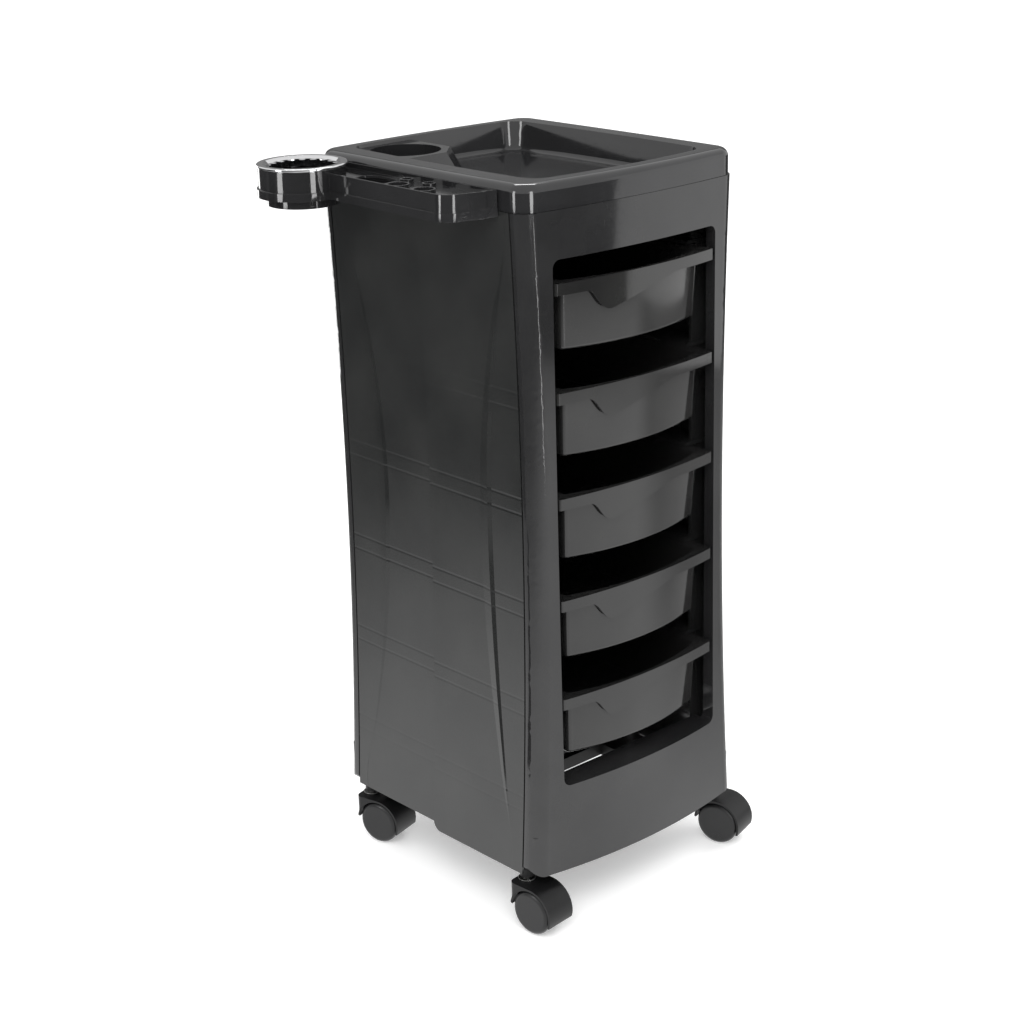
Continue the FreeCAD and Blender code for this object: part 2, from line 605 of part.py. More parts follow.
def make_tool_holder():
    """Open-bottomed holder box: recessed top with collared holes, a slot and the ring's cup."""
    band_top = HOLDER_BOTTOM_Z + HOLDER_BAND_H
    floor_z = HOLDER_TOP_Z - HOLDER_FLOOR_DROP
    cup_top = RING_TOP_Z - 4.0
    band = holder_plan(HOLDER_BAND_OUT, HOLDER_BOTTOM_Z, band_top)
    band = band.common(box(-300, HOLDER_INNER_X, -300, 300, 0, 900))
    cups = [cylinder(RING_CUP_R, RING_X, RING_Y, HOLDER_BOTTOM_Z + 1.0, cup_top),
            cylinder(RING_BAND_R, RING_X, RING_Y, HOLDER_BOTTOM_Z, band_top),
            cylinder(RING_FOOT_R, RING_X, RING_Y, RING_CUP_BOTTOM_Z, HOLDER_BOTTOM_Z + 1.0)]
    pads = [box(HOLDER_INNER_X - 1.0, HOLDER_INNER_X + 1.0, y - 8.0, y + 8.0,
                HOLDER_SCREW_Z - 8.0, HOLDER_SCREW_Z + 6.0) for y in HOLDER_SCREW_Y]
    block = holder_plan(0.0, HOLDER_BOTTOM_Z, HOLDER_TOP_Z).fuse([band] + cups + pads)
    hollow = holder_plan(-HOLDER_WALL, HOLDER_BOTTOM_Z - 1.0, floor_z - HOLDER_WALL)
    hollow = hollow.cut(cylinder(RING_CUP_R - 0.5, RING_X, RING_Y, 800.0, 900.0))
    recess = holder_plan(-HOLDER_RIM, floor_z, HOLDER_TOP_Z + 1.0)
    recess = recess.cut(cylinder(RING_CUP_R - 0.5, RING_X, RING_Y, 800.0, 900.0))
    for x, y, radius in TOOL_HOLES:
        collar = cylinder(radius + 2.0, x, y, HOLDER_BOTTOM_Z + 6.0, HOLDER_TOP_Z - 1.5)
        hollow = hollow.cut(collar)
        recess = recess.cut(collar)
    seat = cylinder(RING_CUP_R - 2.0, RING_X, RING_Y, RING_TOP_Z - RING_H - 2.0, RING_TOP_Z)
    bore = cylinder(RING_BORE_R, RING_X, RING_Y, RING_CUP_BOTTOM_Z - 1.0, RING_TOP_Z)
    holder = block.cut(hollow).cut(recess).cut(seat).cut(bore)
    for x, y, radius in TOOL_HOLES:
        holder = holder.cut(cylinder(radius, x, y, HOLDER_BOTTOM_Z, HOLDER_TOP_Z + 1.0))
    corners = [vec(x, y, HOLDER_BOTTOM_Z) for x, y in TOOL_SLOT]
    face = Part.Face(Part.makePolygon(corners + corners[:1]))
    opening = face.extrude(vec(0, 0, HOLDER_TOP_Z + 1.0 - HOLDER_BOTTOM_Z))
    upright = [edge for edge in opening.Edges if is_upright(edge)]
    holder = holder.cut(opening.makeFillet(5.0, upright))
    for y in HOLDER_SCREW_Y:
        holder = holder.cut(screw_hole(CLEAR_R, y, HOLDER_INNER_X - 10.0, HOLDER_INNER_X + 5.0))
    return holder


def screw_hole(radius, y, x0, x1):
    """A hole along X at the height of the holder's screws."""
    return Part.makeCylinder(radius, x1 - x0, vec(x0, y, HOLDER_SCREW_Z), vec(1, 0, 0))


def make_holder_ring():
    """Chrome ring with a fluted mouth that drops into the holder's cup."""
    top = cylinder(RING_OUTER_R, RING_X, RING_Y, RING_TOP_Z - 3.5, RING_TOP_Z)
    sleeve = cylinder(RING_CUP_R - 2.1, RING_X, RING_Y, RING_TOP_Z - RING_H, RING_TOP_Z - 1.0)
    edge = [item for item in top.Edges if item.Length > 10.0]
    ring = top.makeFillet(1.4, edge).fuse(sleeve)
    ring = ring.cut(cylinder(RING_BORE_R + 4.5, RING_X, RING_Y, 800.0, 900.0))
    mouth = Part.makeCone(RING_BORE_R + 4.0, RING_BORE_R + 8.0, 4.0,
                          vec(RING_X, RING_Y, RING_TOP_Z - 3.9))
    ring = ring.cut(mouth)
    teeth = []
    for index in range(FLUTE_COUNT):
        angle = 2.0 * math.pi * index / FLUTE_COUNT
        reach = RING_BORE_R + 4.0
        teeth.append(cylinder(FLUTE_R, RING_X + reach * math.cos(angle),
                              RING_Y + reach * math.sin(angle),
                              RING_TOP_Z - RING_H, RING_TOP_Z - 4.2))
    return ring.fuse(teeth)


def make_base_frame():
    """Open base, decked along both sides, with a socket at each corner for a caster stem."""
    outer = box(-BASE_HALF_X, BASE_HALF_X, -BASE_HALF_Y, BASE_HALF_Y, BASE_BOTTOM_Z, BASE_TOP_Z)
    inner = box(-BASE_HALF_X + BASE_BAR, BASE_HALF_X - BASE_BAR,
                -BASE_HALF_Y + BASE_BAR, BASE_HALF_Y - BASE_BAR, 0, 200)
    corners = [edge for edge in outer.Edges if is_upright(edge)]
    base = outer.makeFillet(BASE_CORNER_R, corners).cut(inner)
    bars = [box(-BASE_HALF_X + 4.0, BASE_HALF_X - 4.0, -6.0, 6.0, BASE_BOTTOM_Z, BASE_TOP_Z)]
    for sign in (-1, 1):
        rib = sorted((sign * BASE_GAP_HALF_X, sign * (BASE_GAP_HALF_X + BASE_RIB)))
        deck = sorted((sign * BASE_GAP_HALF_X, sign * (BASE_HALF_X - BASE_BAR + 1.0)))
        bars.append(box(rib[0], rib[1], -BASE_HALF_Y + 4.0, BASE_HALF_Y - 4.0,
                        BASE_BOTTOM_Z, BASE_TOP_Z))
        bars.append(box(deck[0], deck[1], -BASE_HALF_Y + 4.0, BASE_HALF_Y - 4.0,
                        BASE_TOP_Z - BASE_DECK_T, BASE_TOP_Z))
    sockets = [cylinder(SOCKET_R, sx * CASTER_X, sy * CASTER_Y, SOCKET_BOTTOM_Z, STEM_TOP_Z + 6.0)
               for name, sx, sy, angle in CASTERS]
    pads = [box(min(sx * CASTER_X, sx * 140.0) - 3.0, max(sx * CASTER_X, sx * 140.0) + 3.0,
                sy * CASTER_Y - 12.0, sy * CASTER_Y + 12.0, BASE_BOTTOM_Z, BASE_TOP_Z)
            for name, sx, sy, angle in CASTERS]
    base = base.fuse(bars + pads)
    for sign in (-1, 1):
        low, high = sorted((sign * BASE_WAIST_HALF_X, sign * (BASE_HALF_X + 5.0)))
        base = base.cut(box(low, high, -BASE_WAIST_HALF_Y, BASE_WAIST_HALF_Y, 0.0, 200.0))
    base = base.fuse(sockets)
    for name, sx, sy, angle in CASTERS:
        base = base.cut(cylinder(SLEEVE_R, sx * CASTER_X, sy * CASTER_Y, SOCKET_BOTTOM_Z - 1.0,
                                 STEM_TOP_Z + 2.0))
        base = base.cut(cylinder(CLEAR_R, sx * FOOT_SCREW[0], sy * FOOT_SCREW[1], 0.0, 200.0))
    return base


def make_socket_sleeves():
    """The four grip sleeves pressed into the base's sockets."""
    sleeves = []
    for name, sx, sy, angle in CASTERS:
        tube = cylinder(SLEEVE_R, sx * CASTER_X, sy * CASTER_Y, SOCKET_BOTTOM_Z, STEM_TOP_Z + 2.0)
        bore = cylinder(STEM_R + RUNNING_GAP, sx * CASTER_X, sy * CASTER_Y,
                        SOCKET_BOTTOM_Z - 1.0, STEM_TOP_Z + 0.6)
        sleeves.append(tube.cut(bore))
    return Part.makeCompound(sleeves)


def caster_place(shape, sx, sy, angle):
    """Turn a caster piece to its trail angle and put it under its corner."""
    placed = shape.copy()
    placed.rotate(vec(0, 0, 0), vec(0, 0, 1), angle)
    placed.translate(vec(sx * CASTER_X, sy * CASTER_Y, 0))
    return placed


def across(radius, y0, y1, x=TRAIL, z=WHEEL_R):
    """A cylinder along the axle direction."""
    return Part.makeCylinder(radius, y1 - y0, vec(x, y0, z), vec(0, 1, 0))


def make_hood():
    """Hood over both wheels, with the middle web that carries the axle and the stem."""
    outer_r = WHEEL_R + HOOD_GAP + HOOD_T
    outer = across(outer_r, -HOOD_HALF_W, HOOD_HALF_W)
    stem_block = box(-11.0, TRAIL, -HOOD_HALF_W, HOOD_HALF_W, WHEEL_R + 4.0, HOOD_PLATE_Z)
    edges = [edge for edge in stem_block.Edges
             if is_upright(edge) and edge.Vertexes[0].Point.x < 0.0]
    shell = outer.fuse(stem_block.makeFillet(8.0, edges))
    shell = shell.cut(across(WHEEL_R + HOOD_GAP, -HOOD_HALF_W - 1.0, HOOD_HALF_W + 1.0))
    below = Part.makePolygon([vec(-60, 0, 49.0), vec(TRAIL, 0, 20.0), vec(90, 0, 14.0),
                              vec(90, 0, -20.0), vec(-60, 0, -20.0), vec(-60, 0, 49.0)])
    wedge = Part.Face(below).extrude(vec(0, 100, 0))
    wedge.translate(vec(0, -50, 0))
    shell = shell.cut(wedge)
    web = across(outer_r - 0.5, -WHEEL_GAP + 0.8, WHEEL_GAP - 0.8)
    web = web.cut(box(-60, 90, -20, 20, -10, 13.0))
    web = web.cut(wedge.common(box(TRAIL + 9.0, 90, -50, 50, -20, 60)))
    web = web.cut(wedge.common(box(-60, TRAIL - 9.0, -50, 50, -20, 60)))
    hub = cylinder(STEM_R + 3.5, 0.0, 0.0, WHEEL_R + 9.0, HOOD_PLATE_Z)
    hub = hub.common(box(-20, 20, -WHEEL_GAP + 0.8, WHEEL_GAP - 0.8, 0, 80).fuse(stem_block))
    hub = hub.cut(across(WHEEL_R + HOOD_GAP, WHEEL_GAP - 0.8, 30.0))
    hub = hub.cut(across(WHEEL_R + HOOD_GAP, -30.0, -WHEEL_GAP + 0.8))
    hood = shell.fuse([web, hub])
    hood = hood.cut(across(AXLE_R, -30.0, 30.0))
    return hood.cut(cylinder(STEM_R, 0.0, 0.0, WHEEL_R + 13.0, 80.0))


def make_stem():
    """Steel stem with its collar and retaining groove."""
    stem = cylinder(STEM_R, 0.0, 0.0, WHEEL_R + 13.0, STEM_TOP_Z - 3.0)
    tip = Part.makeCone(STEM_R, STEM_R - 2.0, 3.0, vec(0, 0, STEM_TOP_Z - 3.0))
    stem = stem.fuse(tip)
    groove = cylinder(STEM_R + 1.0, 0.0, 0.0, STEM_TOP_Z - 10.0, STEM_TOP_Z - 7.0)
    groove = groove.cut(cylinder(STEM_R - 1.0, 0.0, 0.0, 0.0, 200.0))
    return stem.cut(groove)


def make_washer():
    disc = cylinder(10.5, 0.0, 0.0, HOOD_PLATE_Z, HOOD_PLATE_Z + 2.0)
    disc = disc.makeFillet(0.7, [edge for edge in disc.Edges if edge.Length > 30.0])
    return disc.cut(cylinder(STEM_R, 0.0, 0.0, 0.0, 200.0))


def make_axle():
    return across(AXLE_R, -WHEEL_GAP - 11.0, WHEEL_GAP + 11.0)


def make_wheel(side):
    """One wheel: tread ring, dished inner side and a smooth outer cover."""
    y_in = side * WHEEL_GAP
    y_out = side * (WHEEL_GAP + WHEEL_W)
    low, high = sorted((y_in, y_out))
    wheel = across(WHEEL_R, low, high)
    outer_edge = [edge for edge in wheel.Edges
                  if edge.Length > 20.0 and abs(edge.CenterOfMass.y - y_out) < 0.1]
    wheel = wheel.makeFillet(WHEEL_EDGE_R, outer_edge)
    dish_low, dish_high = sorted((y_in - side, y_in + side * 9.0))
    hub_low, hub_high = sorted((y_in, y_in + side * 10.0))
    dish = across(WHEEL_R - 4.0, dish_low, dish_high).cut(across(7.5, hub_low - 1.0, hub_high))
    wheel = wheel.cut(dish)
    bore_low, bore_high = sorted((y_in - side, y_in + side * 11.3))
    return wheel.cut(across(AXLE_R + RUNNING_GAP, bore_low, bore_high))


def screw(x, y, z, direction, length):
    """A cross-head screw whose head rests at (x, y, z) and whose shank points along direction."""
    head = Part.makeCylinder(HEAD_R, HEAD_H, vec(0, 0, -HEAD_H))
    shank = Part.makeCylinder(SCREW_R - 0.02, length, vec(0, 0, 0))
    recess = box(-2.1, 2.1, -0.5, 0.5, -HEAD_H - 0.1, -HEAD_H + 1.2).fuse(
        box(-0.5, 0.5, -2.1, 2.1, -HEAD_H - 0.1, -HEAD_H + 1.2))
    piece = head.fuse(shank).cut(recess)
    piece.Placement = FreeCAD.Placement(vec(x, y, z), FreeCAD.Rotation(vec(0, 0, 1), direction))
    return piece


def corner_screws(spot, z, length):
    """Four upright screws, one in each corner."""
    return Part.makeCompound([screw(sx * spot[0], sy * spot[1], z, vec(0, 0, 1), length)
                              for sx in (-1, 1) for sy in (-1, 1)])


def holder_screws():
    """The screws that hold the tool holder on the tray's skirt."""
    x = HOLDER_INNER_X - HOLDER_WALL
    return Part.makeCompound([screw(x, y, HOLDER_SCREW_Z, vec(1, 0, 0), 13.0)
                              for y in HOLDER_SCREW_Y])


def main():
    os.makedirs("parts", exist_ok=True)
    shell = carcass_shell()
    joint_shell = carcass_shell(WALL + 0.8, 2.0)
    PARTS["front_frame"] = make_front_frame(shell, joint_shell)
    PARTS["back_panel"] = make_back_panel(shell, joint_shell)
    for side_name, side in (("left", -1), ("right", 1)):
        PARTS[side_name + "_side_front"] = make_side_panel(front_outline, side, True)
        PARTS[side_name + "_side_rear"] = make_side_panel(rear_outline, side, False)
    PARTS["base_frame"] = make_base_frame()
    PARTS["socket_sleeves"] = make_socket_sleeves()
    PARTS["top_tray"] = make_top_tray()
    PARTS["tool_holder"] = make_tool_holder()
    PARTS["holder_ring"] = make_holder_ring()
    PARTS["base_screws"] = corner_screws(FOOT_SCREW, BASE_BOTTOM_Z, 38.0)
    PARTS["tray_screws"] = corner_screws(TRAY_SCREW, BODY_TOP_Z - 22.0, 38.0)
    PARTS["holder_screws"] = holder_screws()
    for number in range(1, DRAWER_COUNT + 1):
        PARTS["drawer_%d" % number] = make_drawer(number)
    hood, stem, washer, axle = make_hood(), make_stem(), make_washer(), make_axle()
    wheels = {"right": make_wheel(1), "left": make_wheel(-1)}
    for name, sx, sy, angle in CASTERS:
        PARTS["caster_%s_hood" % name] = caster_place(hood, sx, sy, angle)
        PARTS["caster_%s_stem" % name] = caster_place(stem, sx, sy, angle)
        PARTS["caster_%s_washer" % name] = caster_place(washer, sx, sy, angle)
        PARTS["caster_%s_axle" % name] = caster_place(axle, sx, sy, angle)
        for which, wheel in wheels.items():
            PARTS["caster_%s_wheel_%s" % (name, which)] = caster_place(wheel, sx, sy, angle)
    for name, shape in PARTS.items():
        clean = shape.removeSplitter()
        clean.translate(vec(CARCASS_X, CARCASS_Y, 0.0))
        clean.exportStep("parts/%s.step" % name)


main()
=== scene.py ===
import json
import math

import bmesh
import bpy
from mathutils import Matrix, Vector

# Looks for a black plastic salon trolley.  Metres, +Z up, drawers open towards -Y.

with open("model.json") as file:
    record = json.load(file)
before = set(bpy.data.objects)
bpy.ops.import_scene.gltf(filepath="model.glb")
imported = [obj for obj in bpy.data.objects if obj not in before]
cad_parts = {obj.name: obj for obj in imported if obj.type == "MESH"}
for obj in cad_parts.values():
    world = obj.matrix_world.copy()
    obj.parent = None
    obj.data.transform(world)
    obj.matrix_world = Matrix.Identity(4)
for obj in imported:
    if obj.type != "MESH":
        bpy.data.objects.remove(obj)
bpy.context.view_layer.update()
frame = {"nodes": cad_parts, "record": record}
NODES = frame["nodes"]

# Camera: direction and lens
CAMERA_AZIMUTH = math.radians(-40.69)
CAMERA_PITCH = math.radians(19.85)
CAMERA_ROLL = math.radians(-1.6)
CAMERA_PLACE = Vector((-1.4489, -1.6847, 1.2533))
CAMERA_LENS = 69.39
SENSOR = 36.0

# Studio
FLOOR_HALF = 30.0
FLOOR_LIFT = 0.30
WORLD_STRENGTH = 1.12
POOL_CENTRE = (0.5, -0.5)
POOL_NEAR = 1.0
POOL_FAR = 2.6
POOL_BRIGHT = 1.42
POOL_DIM = 0.15
POOL_SHADE_ACROSS = (1.0, 0.85, 0.0)
POOL_SHADE_FROM = -0.12
POOL_SHADE_TO = 0.40
POOL_SHADE = 0.45

# Drawer ribs behind the side panels, the top drawer's pair first
RIB_BELOW_Z = 0.7555
RIB_ABOVE_Z = 0.7735
RIB_PITCH = 0.12075
RIB_LINE_HALF = 0.0022

# Surface patterns: size as pattern scale per metre, and what they add to the roughness
HAZE_SCALE = 9.0
CLOUD_SCALE = 45.0
SWELL_SCALE = 6.0
DUST_SCALE = 900.0
HAIRLINE_SCALE = 60.0
SCUFF_SCALE = 140.0
BLOTCH_SCALE = 25.0
BRUSH_SCALE = 300.0
SMUDGE_SCALE = 40.0
HAIRLINE_ROUGH = 0.07
DUST_ROUGH = 0.15
SCUFF_ROUGH = 0.1
GLOSS_IOR = 1.52
SATIN_IOR = 1.5
SIDE_SINK_DEPTH = 0.00012

# Small round-over that moulded edges get
WELD_DISTANCE = 0.00001
EDGE_R = 0.0006
WIDE_EDGE_R = 0.0012
WIDE_EDGED = ("top_tray", "tool_holder", "drawer_", "holder_ring", "front_frame")
EDGE_ANGLE = math.radians(32)
CREASE_ANGLE = math.radians(6)


# ---------------------------------------------------------------- node helpers

def new_material(name):
    material = bpy.data.materials.new(name)
    material.use_nodes = True
    nodes = material.node_tree.nodes
    return material, nodes, material.node_tree.links, nodes["Principled BSDF"]


def noise(nodes, links, coords, scale, detail=4.0, stretch=(1.0, 1.0, 1.0)):
    """A noise pattern in object space, optionally stretched."""
    mapping = nodes.new("ShaderNodeMapping")
    mapping.inputs["Scale"].default_value = stretch
    links.new(coords, mapping.inputs["Vector"])
    texture = nodes.new("ShaderNodeTexNoise")
    texture.inputs["Scale"].default_value = scale
    texture.inputs["Detail"].default_value = detail
    links.new(mapping.outputs["Vector"], texture.inputs["Vector"])
    return texture.outputs["Fac"]


def spread(nodes, links, source, low, high, out_low, out_high):
    """Maps source from low..high to out_low..out_high, clamped."""
    remap = nodes.new("ShaderNodeMapRange")
    remap.inputs["From Min"].default_value = low
    remap.inputs["From Max"].default_value = high
    remap.inputs["To Min"].default_value = out_low
    remap.inputs["To Max"].default_value = out_high
    links.new(source, remap.inputs["Value"])
    return remap.outputs["Result"]


def combine(nodes, links, kind, first, second):
    node = nodes.new("ShaderNodeMath")
    node.operation = kind
    for socket, value in zip(node.inputs, (first, second)):
        if isinstance(value, (int, float)):
            socket.default_value = value
        else:
            links.new(value, socket)
    return node.outputs["Value"]


def tint(nodes, links, factor, low, high):
    ramp = nodes.new("ShaderNodeValToRGB")
    ramp.color_ramp.elements[0].color = (*low, 1.0)
    ramp.color_ramp.elements[1].color = (*high, 1.0)
    links.new(factor, ramp.inputs["Fac"])
    return ramp.outputs["Color"]


def bump(nodes, links, bsdf, layers):
    """Stacks bump layers given as (height, strength, distance)."""
    normal = None
    for height, strength, distance in layers:
        node = nodes.new("ShaderNodeBump")
        node.inputs["Strength"].default_value = strength
        node.inputs["Distance"].default_value = distance
        links.new(height, node.inputs["Height"])
        if normal is not None:
            links.new(normal, node.inputs["Normal"])
        normal = node.outputs["Normal"]
    links.new(normal, bsdf.inputs["Normal"])


def sink_lines(nodes, links, coords):
    """Faint sunk lines across a side panel where the drawer ribs stand behind it."""
    height = nodes.new("ShaderNodeSeparateXYZ")
    links.new(coords, height.inputs["Vector"])
    total = None
    for rib_z in (RIB_BELOW_Z, RIB_ABOVE_Z):
        above = combine(nodes, links, "SUBTRACT", height.outputs["Z"], rib_z)
        turns = combine(nodes, links, "MULTIPLY", above, 1.0 / RIB_PITCH)
        nearest = combine(nodes, links, "PINGPONG", turns, 0.5)
        line = spread(nodes, links, nearest, 0.0, RIB_LINE_HALF / RIB_PITCH, 0.0, 1.0)
        total = line if total is None else combine(nodes, links, "MINIMUM", total, line)
    return total


# ---------------------------------------------------------------- materials

def gloss_plastic(name, low, high, rough_low, rough_high, wave, scratch, sink_depth=0.0):
    """Black injection-moulded plastic: handling haze, hairline scratches and a faint mould wave."""
    material, nodes, links, bsdf = new_material(name)
    coords = nodes.new("ShaderNodeTexCoord").outputs["Object"]
    haze = noise(nodes, links, coords, HAZE_SCALE, 6.0)
    cloud = noise(nodes, links, coords, CLOUD_SCALE, 3.0)
    specks = noise(nodes, links, coords, DUST_SCALE, 2.0)
    dust = spread(nodes, links, specks, 0.70, 0.82, 0.0, 1.0)
    lines = noise(nodes, links, coords, HAIRLINE_SCALE, 5.0, (1.0, 1.0, 30.0))
    cross = noise(nodes, links, coords, HAIRLINE_SCALE, 5.0, (28.0, 28.0, 1.0))
    streak = spread(nodes, links, combine(nodes, links, "MAXIMUM", lines, cross), 0.62, 0.74, 0.0, 1.0)
    links.new(tint(nodes, links, spread(nodes, links, haze, 0.35, 0.68, 0.0, 1.0), low, high),
              bsdf.inputs["Base Color"])
    rough = spread(nodes, links, haze, 0.35, 0.65, rough_low, rough_high)
    rough = combine(nodes, links, "ADD", rough, combine(nodes, links, "MULTIPLY", streak, HAIRLINE_ROUGH))
    rough = combine(nodes, links, "ADD", rough, combine(nodes, links, "MULTIPLY", dust, DUST_ROUGH))
    links.new(rough, bsdf.inputs["Roughness"])
    bsdf.inputs["IOR"].default_value = GLOSS_IOR
    bsdf.inputs["Specular IOR Level"].default_value = 0.5
    swell = noise(nodes, links, coords, SWELL_SCALE, 1.0)
    layers = [(swell, wave, 0.004), (cloud, 0.02, 0.0004), (streak, scratch, 0.00005)]
    if sink_depth > 0.0:
        layers.append((sink_lines(nodes, links, coords), 1.0, sink_depth))
    bump(nodes, links, bsdf, layers)
    return material


def satin_plastic(name, low, high, rough_low, rough_high, grain_scale, grain_depth, specular):
    """Tough black nylon with a fine spark-eroded grain and scuffs."""
    material, nodes, links, bsdf = new_material(name)
    coords = nodes.new("ShaderNodeTexCoord").outputs["Object"]
    blotch = noise(nodes, links, coords, BLOTCH_SCALE, 5.0)
    grain = noise(nodes, links, coords, grain_scale, 2.0)
    rubs = noise(nodes, links, coords, SCUFF_SCALE, 6.0, (1.0, 1.0, 4.0))
    scuff = spread(nodes, links, rubs, 0.62, 0.75, 0.0, 1.0)
    shade = combine(nodes, links, "ADD", spread(nodes, links, blotch, 0.35, 0.7, 0.0, 0.7),
                    combine(nodes, links, "MULTIPLY", scuff, 0.3))
    links.new(tint(nodes, links, shade, low, high), bsdf.inputs["Base Color"])
    rough = spread(nodes, links, blotch, 0.3, 0.7, rough_low, rough_high)
    rough = combine(nodes, links, "ADD", rough, combine(nodes, links, "MULTIPLY", scuff, SCUFF_ROUGH))
    links.new(rough, bsdf.inputs["Roughness"])
    bsdf.inputs["IOR"].default_value = SATIN_IOR
    bsdf.inputs["Specular IOR Level"].default_value = specular
    bump(nodes, links, bsdf, ((grain, grain_depth, 0.0002), (scuff, 0.1, 0.0001)))
    return material


def metal(name, low, high, rough_low, rough_high, stretch, line_depth):
    """Plated metal with fine lines along the direction that stretch leaves long."""
    material, nodes, links, bsdf = new_material(name)
    coords = nodes.new("ShaderNodeTexCoord").outputs["Object"]
    lines = noise(nodes, links, coords, BRUSH_SCALE, 3.0, stretch)
    smudge = noise(nodes, links, coords, SMUDGE_SCALE, 4.0)
    links.new(tint(nodes, links, smudge, low, high), bsdf.inputs["Base Color"])
    links.new(spread(nodes, links, smudge, 0.35, 0.7, rough_low, rough_high), bsdf.inputs["Roughness"])
    bsdf.inputs["Metallic"].default_value = 1.0
    bump(nodes, links, bsdf, ((lines, line_depth, 0.00005),))
    return material


CARCASS = gloss_plastic("carcass_black", (0.013, 0.013, 0.0135), (0.021, 0.021, 0.0215),
                        0.05, 0.10, 0.035, 0.10)
SIDE = gloss_plastic("side_black", (0.013, 0.0135, 0.0135), (0.021, 0.0215, 0.021),
                     0.07, 0.13, 0.05, 0.10, SIDE_SINK_DEPTH)
TRAY = gloss_plastic("tray_black", (0.012, 0.012, 0.0125), (0.018, 0.018, 0.019),
                     0.04, 0.08, 0.02, 0.10)
DRAWER = gloss_plastic("drawer_black", (0.012, 0.012, 0.012), (0.019, 0.019, 0.0185),
                       0.05, 0.09, 0.03, 0.10)
BASE = satin_plastic("base_black", (0.008, 0.008, 0.008), (0.013, 0.013, 0.013),
                     0.35, 0.5, 1500.0, 0.1, 0.3)
HOOD = satin_plastic("caster_hood_black", (0.005, 0.005, 0.0053), (0.010, 0.010, 0.0105),
                     0.28, 0.4, 1700.0, 0.15, 0.24)
WHEEL = satin_plastic("caster_wheel_black", (0.009, 0.009, 0.0095), (0.016, 0.016, 0.0165),
                      0.26, 0.4, 1400.0, 0.15, 0.32)
CHROME = metal("chrome", (0.56, 0.56, 0.57), (0.64, 0.64, 0.645),
               0.03, 0.09, (1.0, 1.0, 6.0), 0.05)
STEEL = metal("zinc_steel", (0.14, 0.14, 0.137), (0.22, 0.22, 0.216),
              0.25, 0.42, (1.0, 1.0, 10.0), 0.3)

BY_SLOT = {"carcass_black": CARCASS, "tray_black": TRAY, "drawer_black": DRAWER, "base_black": BASE,
           "caster_black": HOOD, "wheel_black": WHEEL, "chrome": CHROME, "steel": STEEL}


# ---------------------------------------------------------------- CAD pieces

def soften(obj, radius, angle):
    """Joins the split corners and rounds every sharp edge a little."""
    weld = obj.modifiers.new("weld", "WELD")
    weld.merge_threshold = WELD_DISTANCE
    edge = obj.modifiers.new("edge", "BEVEL")
    edge.width = radius
    edge.segments = 2
    edge.limit_method = "ANGLE"
    edge.angle_limit = angle
    edge.use_clamp_overlap = True
    edge.harden_normals = False
    normals = obj.modifiers.new("normals", "WEIGHTED_NORMAL")
    normals.keep_sharp = False
    normals.weight = 60


def dress_cad_nodes():
    slot_of = {part["node"]: part["material_slot"] for part in frame["record"]["subparts"]}
    for name, obj in NODES.items():
        is_side = "_side_" in name
        obj.data.materials.clear()
        obj.data.materials.append(SIDE if is_side else BY_SLOT[slot_of[name]])
        radius = WIDE_EDGE_R if any(part in name for part in WIDE_EDGED) else EDGE_R
        soften(obj, radius, CREASE_ANGLE if is_side else EDGE_ANGLE)


dress_cad_nodes()


# ---------------------------------------------------------------- studio

def flat_emission(name, strength, colour=(1.0, 1.0, 1.0)):
    material = bpy.data.materials.new(name)
    material.use_nodes = True
    tree = material.node_tree
    tree.nodes.clear()
    glow = tree.nodes.new("ShaderNodeEmission")
    glow.inputs["Color"].default_value = (*colour, 1.0)
    glow.inputs["Strength"].default_value = strength
    out = tree.nodes.new("ShaderNodeOutputMaterial")
    tree.links.new(glow.outputs["Emission"], out.inputs["Surface"])
    return material


def plane(name, half_x, half_y):
    mesh = bpy.data.meshes.new(name)
    maker = bmesh.new()
    corners = [maker.verts.new((x, y, 0.0)) for x, y in
               ((-half_x, -half_y), (half_x, -half_y), (half_x, half_y), (-half_x, half_y))]
    maker.faces.new(corners)
    maker.to_mesh(mesh)
    maker.free()
    obj = bpy.data.objects.new(name, mesh)
    bpy.context.scene.collection.objects.link(obj)
    return obj


def only_in_reflections(obj):
    obj.visible_camera = False
    obj.visible_diffuse = False
    obj.visible_transmission = False
    obj.visible_volume_scatter = False
    obj.visible_shadow = False


def make_floor():
    """Plain pale floor that the camera and the soft light see."""
    floor = plane("floor", FLOOR_HALF, FLOOR_HALF)
    material, nodes, links, bsdf = new_material("pale_floor")
    coords = nodes.new("ShaderNodeTexCoord").outputs["Object"]
    mottle = noise(nodes, links, coords, 3.0, 3.0)
    links.new(tint(nodes, links, mottle, (0.88, 0.88, 0.88), (0.91, 0.91, 0.91)),
              bsdf.inputs["Base Color"])
    bsdf.inputs["Roughness"].default_value = 0.6
    bsdf.inputs["Emission Color"].default_value = (1.0, 1.0, 1.0, 1.0)
    bsdf.inputs["Emission Strength"].default_value = FLOOR_LIFT
    floor.data.materials.append(material)
    floor.visible_glossy = False


